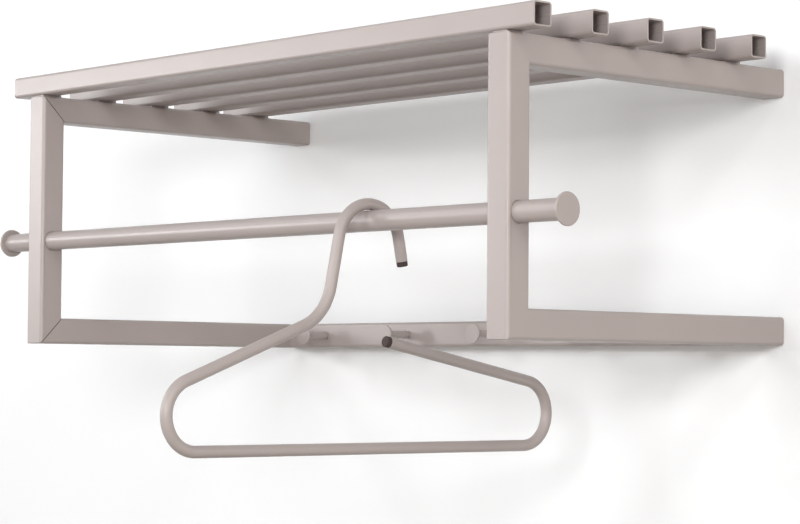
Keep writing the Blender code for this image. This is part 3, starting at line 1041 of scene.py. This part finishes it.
class COATRACK_OT_end_plugs(Operator):
    """Make the dark plugs in the hanger's open ends"""

    bl_idname = "coat_rack.end_plugs"
    bl_label = "End plugs"

    def execute(self, context):
        corners = hanger_corners()
        make_plug("hanger_hook_plug", corners[0], corners[1])
        make_plug("hanger_shoulder_plug", corners[-1], corners[-2])
        return {"FINISHED"}


# Studio

# Each lamp's bearing and rise in degrees, then its distance, width and height in metres
LAMPS = {
    "key": (-48, 5, 2.6, 0.36, 0.3),
    "left": (-60, 9, 2.8, 0.7, 0.5),
    "upper": (-45, 28, 2.5, 0.28, 0.28),
    "front": (-4, 17, 2.6, 1.0, 0.6),
    "right": (35, 6, 2.6, 0.6, 0.4),
    "side": (52, 34, 2.4, 0.28, 0.28),
    "fill": (81, 14, 5.6, 3.0, 3.0),
    "bounce": (108, 4, 2.4, 1.2, 0.9),
}
WARM_LAMPS = ("fill", "bounce")


def seen_directly(tree):
    """1 where the camera, a reflection or a clear surface looks straight at the background."""
    path = tree.nodes.new("ShaderNodeLightPath")
    seen = path.outputs["Is Camera Ray"]
    for name in ("Is Glossy Ray", "Is Transmission Ray"):
        either = tree.nodes.new("ShaderNodeMath")
        either.operation = "MAXIMUM"
        tree.links.new(seen, either.inputs[0])
        tree.links.new(path.outputs[name], either.inputs[1])
        seen = either.outputs[0]
    return seen


def mix_shaders(tree, share, first, second):
    """Mix two shaders by a share of the second."""
    made = tree.nodes.new("ShaderNodeMixShader")
    tree.links.new(share, made.inputs[0])
    tree.links.new(first, made.inputs[1])
    tree.links.new(second, made.inputs[2])
    return made.outputs[0]


def make_backdrop_paint(name, colour):
    """Pale paint that keeps soft shadows and is clear when seen from behind."""
    studio = settings().studio
    made = bpy.data.materials.new(name)
    made.use_nodes = True
    tree = made.node_tree
    tree.nodes.clear()
    paint = tree.nodes.new("ShaderNodeBsdfDiffuse")
    paint.inputs["Color"].default_value = (*colour, 1)
    share = tree.nodes.new("ShaderNodeMath")
    share.operation = "MULTIPLY"
    share.inputs[1].default_value = studio.backdrop_glow
    tree.links.new(seen_directly(tree), share.inputs[0])
    glow = tree.nodes.new("ShaderNodeEmission")
    tree.links.new(share.outputs[0], glow.inputs["Strength"])
    front = tree.nodes.new("ShaderNodeAddShader")
    tree.links.new(paint.outputs[0], front.inputs[0])
    tree.links.new(glow.outputs[0], front.inputs[1])
    clear = tree.nodes.new("ShaderNodeBsdfTransparent")
    facing_away = tree.nodes.new("ShaderNodeNewGeometry").outputs["Backfacing"]
    surface = mix_shaders(tree, facing_away, front.outputs[0], clear.outputs[0])
    tree.links.new(surface, tree.nodes.new("ShaderNodeOutputMaterial").inputs["Surface"])
    return made


def make_white_world():
    """White surroundings: full white to the eye, softer as light on the rack."""
    made = bpy.data.worlds.new("white_studio")
    made.use_nodes = True
    tree = made.node_tree
    tree.nodes.clear()
    light = tree.nodes.new("ShaderNodeBackground")
    light.inputs["Color"].default_value = (*WHITE, 1)
    light.inputs["Strength"].default_value = settings().studio.sky
    white = tree.nodes.new("ShaderNodeBackground")
    white.inputs["Color"].default_value = (*WHITE, 1)
    mixed = mix_shaders(tree, seen_directly(tree), light.outputs[0], white.outputs[0])
    tree.links.new(mixed, tree.nodes.new("ShaderNodeOutputWorld").inputs["Surface"])
    return made


def backdrop(name, matrix, paint):
    """One large flat sheet of the backdrop."""
    shape = bmesh.new()
    bmesh.ops.create_grid(shape, x_segments=1, y_segments=1, size=settings().studio.room / 2)
    place_shape(shape, matrix)
    made = bare_object(name, shape)
    made.data.materials.append(paint)
    return made


def softbox(name, power, colour, bearing, rise, distance, width, height):
    """Soft rectangular lamp that points at the rack; a bearing to the right of the front is positive."""
    lamp = bpy.data.lights.new(name, "AREA")
    lamp.shape = "RECTANGLE"
    lamp.size = width
    lamp.size_y = height
    lamp.energy = power
    lamp.color = colour
    bearing = math.radians(bearing)
    rise = math.radians(rise)
    ahead = math.cos(rise)
    way = Vector((math.sin(bearing) * ahead, -math.cos(bearing) * ahead, math.sin(rise)))
    made = bpy.data.objects.new(name, lamp)
    made.location = Vector(settings().studio.lamp_target) + distance * way
    made.rotation_euler = way.to_track_quat("Z", "Y").to_euler()
    bpy.context.scene.collection.objects.link(made)


class COATRACK_OT_stage(Operator):
    """Set up the wall, the floor, the lamps and the camera"""

    bl_idname = "coat_rack.stage"
    bl_label = "Stage"

    def execute(self, context):
        studio = settings().studio
        paint = make_backdrop_paint("wall_paint", studio.wall_colour)
        wall = backdrop("wall_backdrop", Matrix.Translation((0, studio.wall_gap, 0)) @ FACE_FRONT, paint)
        wall.visible_diffuse = False
        wall.visible_shadow = False
        paint = make_backdrop_paint("floor_paint", studio.floor_colour)
        backdrop("floor", Matrix.Translation((0, 0, studio.floor_height)), paint)
        for name, place_and_size in LAMPS.items():
            colour = studio.warm_light if name in WARM_LAMPS else WHITE
            softbox(f"{name}_lamp", getattr(studio, f"{name}_power"), colour, *place_and_size)
        context.scene.world = make_white_world()
        lens = bpy.data.cameras.new("camera")
        lens.sensor_fit = "HORIZONTAL"
        lens.sensor_width = SENSOR_MILLIMETRES
        lens.lens = studio.camera_lens
        camera = bpy.data.objects.new("camera", lens)
        yaw = Matrix.Rotation(studio.camera_yaw, 4, "Z")
        pitch = Matrix.Rotation(math.pi / 2 + studio.camera_pitch, 4, "X")
        roll = Matrix.Rotation(studio.camera_roll, 4, "Z")
        camera.matrix_world = Matrix.Translation(studio.camera_place) @ yaw @ pitch @ roll
        context.scene.collection.objects.link(camera)
        context.scene.camera = camera
        context.scene.view_settings.view_transform = "Standard"
        return {"FINISHED"}


# Panel and start

STEPS = (
    COATRACK_OT_side_frames,
    COATRACK_OT_wall_plates,
    COATRACK_OT_shelf_tubes,
    COATRACK_OT_shelf_pads,
    COATRACK_OT_rear_rail,
    COATRACK_OT_pegs,
    COATRACK_OT_hanging_rod,
    COATRACK_OT_hanger,
    COATRACK_OT_end_plugs,
    COATRACK_OT_stage,
)


class COATRACK_PT_steps(Panel):
    """Sidebar panel with the rack's settings and building steps"""

    bl_idname = "COATRACK_PT_steps"
    bl_label = "Coat Rack"
    bl_space_type = "VIEW_3D"
    bl_region_type = "UI"
    bl_category = "Coat Rack"

    def draw(self, context):
        for step in STEPS:
            self.layout.operator(step.bl_idname)
        for group_name in RackSettings.__annotations__:
            group = getattr(context.scene.coat_rack, group_name)
            box = self.layout.box()
            for setting in type(group).__annotations__:
                box.prop(group, setting)


CLASSES = (
    RackTubeSizes,
    RackFittingSizes,
    RackHangerSizes,
    RackFinishes,
    RackStudio,
    RackSettings,
    *STEPS,
    COATRACK_PT_steps,
)


def register():
    """Register the classes and the scene's settings."""
    for item in CLASSES:
        bpy.utils.register_class(item)
    bpy.types.Scene.coat_rack = PointerProperty(type=RackSettings)


def unregister():
    """Remove the scene's settings and the classes."""
    del bpy.types.Scene.coat_rack
    for item in reversed(CLASSES):
        bpy.utils.unregister_class(item)


def main():
    """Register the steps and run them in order."""
    register()
    bpy.ops.coat_rack.side_frames()
    bpy.ops.coat_rack.wall_plates()
    bpy.ops.coat_rack.shelf_tubes()
    bpy.ops.coat_rack.shelf_pads()
    bpy.ops.coat_rack.rear_rail()
    bpy.ops.coat_rack.pegs()
    bpy.ops.coat_rack.hanging_rod()
    bpy.ops.coat_rack.hanger()
    bpy.ops.coat_rack.end_plugs()
    bpy.ops.coat_rack.stage()


if __name__ == "__main__":
    main()
